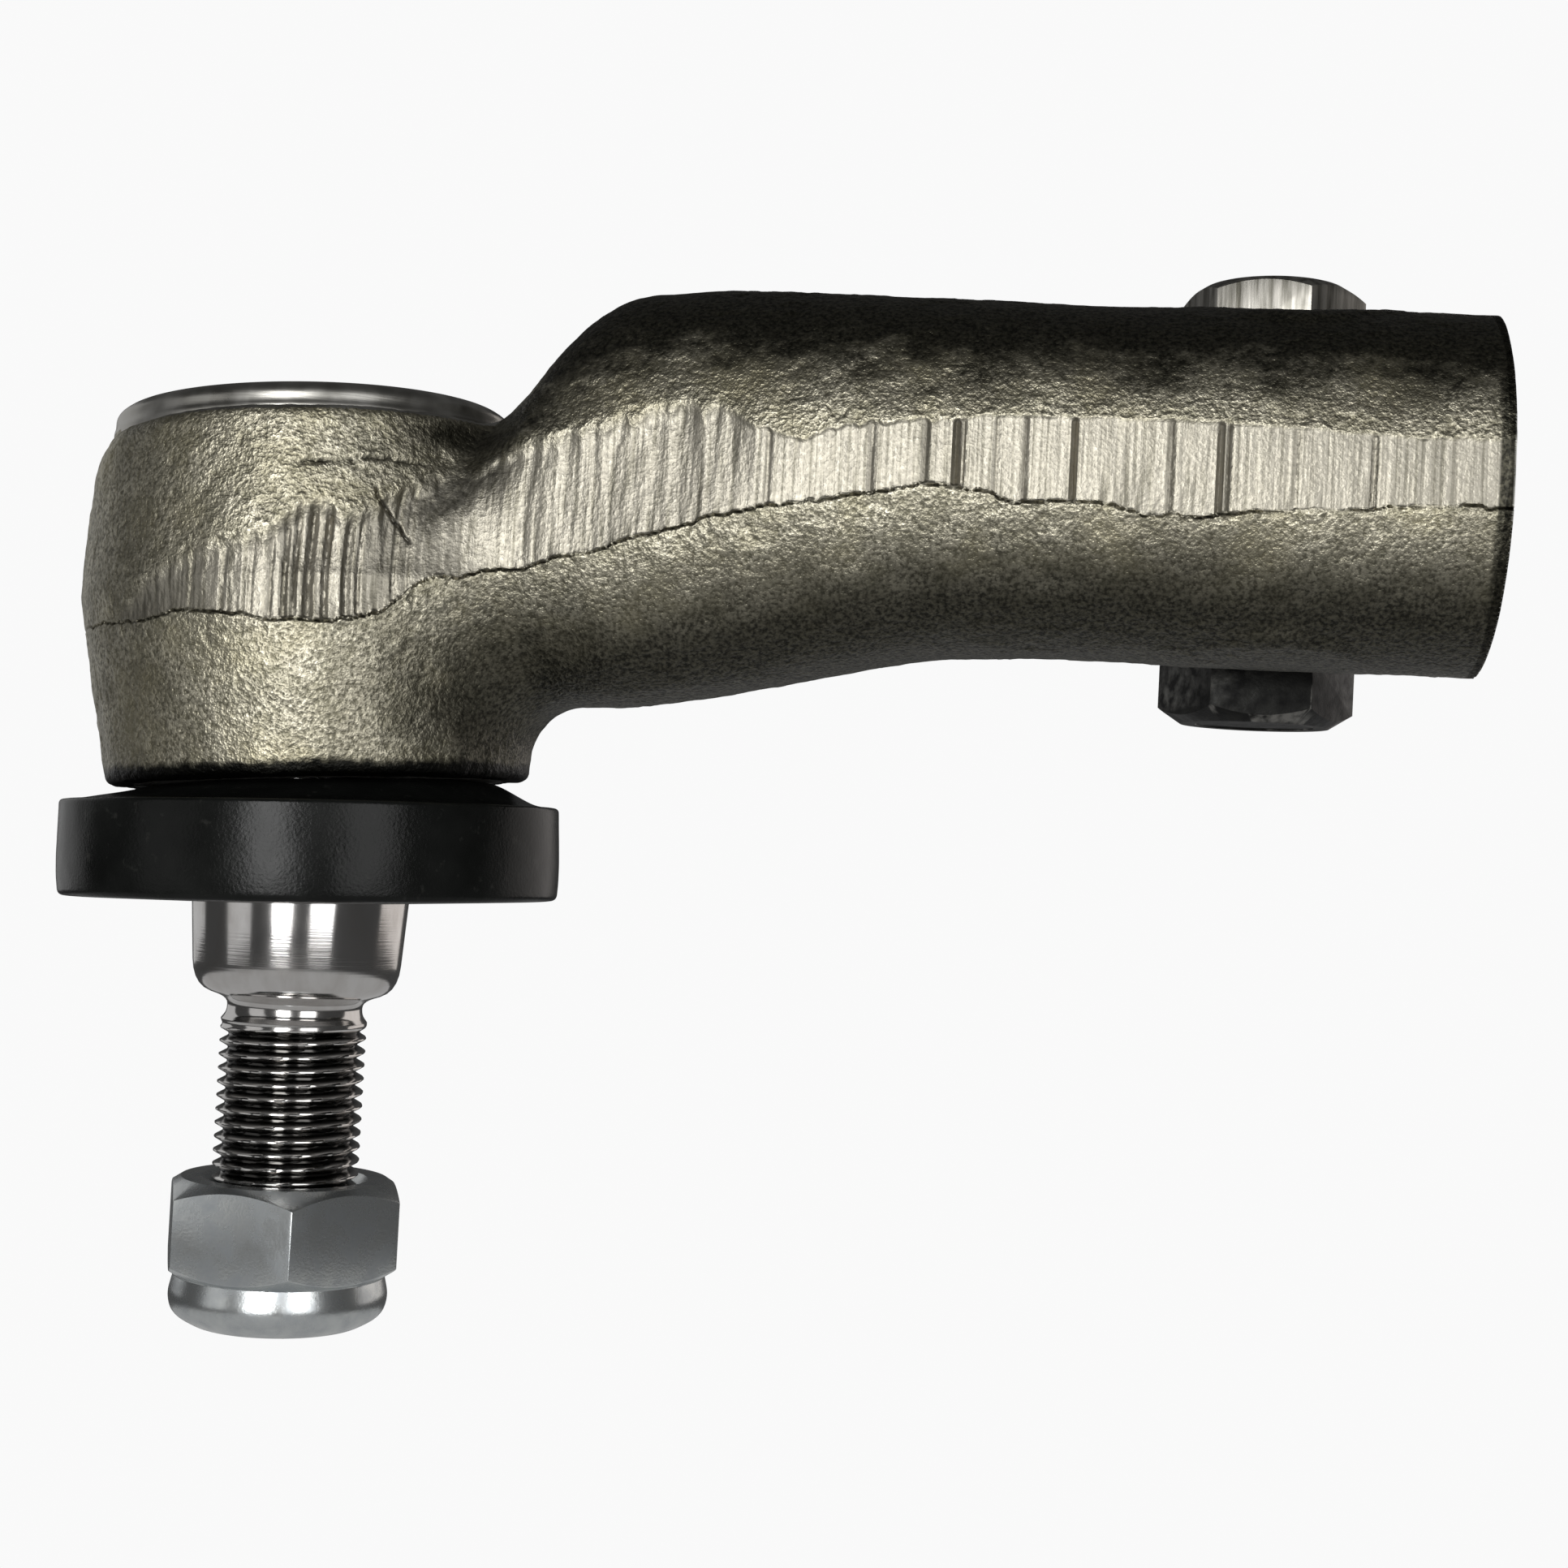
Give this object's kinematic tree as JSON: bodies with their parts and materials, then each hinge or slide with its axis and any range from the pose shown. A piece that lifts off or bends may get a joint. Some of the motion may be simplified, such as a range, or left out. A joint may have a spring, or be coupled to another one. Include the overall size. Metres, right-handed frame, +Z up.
{
  "type": "tie rod end",
  "caption": "Forged tie rod end with a canted ball socket, tapered ball stud with lock nut, dust boot, cranked arm and split clamp barrel for the rod.",
  "frame": {"origin": "centre of the mouth of the rod bore, in the plane of the clamp barrel's end face", "axes": "+X along the rod bore, out of its mouth; +Z up, the ball stud hangs along -Z; +Y towards the clamp ears"},
  "size_m": [0.152, 0.0578, 0.1218],
  "materials": {
    "forged_steel": "raw forged skin, flash line trimmed bright",
    "ground_steel": "turned and ground",
    "zinc_plated_steel": "bright zinc, satin",
    "black_oxide_steel": "black oxide, worn at the corners",
    "cover_steel": "pressed steel",
    "spring_steel": "hardened and oiled",
    "boot_rubber": "satin black",
    "seal_rubber": "smooth black",
    "acetal": "moulded natural",
    "nylon": "moulded blue"
  },
  "bodies": {
    "housing": {"housing": "forged_steel", "upper_ball_seat": "acetal", "preload_spring": "spring_steel", "cover_plate": "cover_steel", "cover_seal": "seal_rubber", "clamp_bolt": "black_oxide_steel", "clamp_nut": "black_oxide_steel"},
    "bearing": {"lower_ball_seat": "acetal"},
    "boot": {"dust_boot": "boot_rubber", "boot_base_ring": "cover_steel"},
    "stud": {"ball_stud": "ground_steel"},
    "nut_carrier": {"lock_nut_insert": "nylon"},
    "nut": {"lock_nut": "zinc_plated_steel"}
  },
  "joints": [
    {"name": "ball_turn", "type": "hinge", "parent": "housing", "child": "bearing", "pos_m": [-0.1255, 0, -0.01625], "axis": [-0.0698, 0, 0.9976], "continuous": true},
    {"name": "ball_tilt", "type": "hinge", "parent": "bearing", "child": "boot", "pos_m": [-0.1255, 0, -0.01625], "axis": [0, 1, 0], "range_deg": [-19, 11], "deforming": ["dust_boot"]},
    {"name": "stud_spin", "type": "hinge", "parent": "boot", "child": "stud", "pos_m": [-0.1255, 0, -0.01625], "axis": [0, 0, 1], "continuous": true},
    {"name": "nut_travel", "type": "slide", "parent": "stud", "child": "nut_carrier", "axis": [0, 0, 1], "range_m": [0, 0.014]},
    {"name": "nut_spin", "type": "hinge", "parent": "nut_carrier", "child": "nut", "pos_m": [-0.1255, 0, -0.01625], "axis": [0, 0, 1], "range_deg": [0, 3360]}
  ],
  "couplings": [
    {"joint": "nut_travel", "follows": "nut_spin", "m_per_rad": 0.00023873}
  ]
}
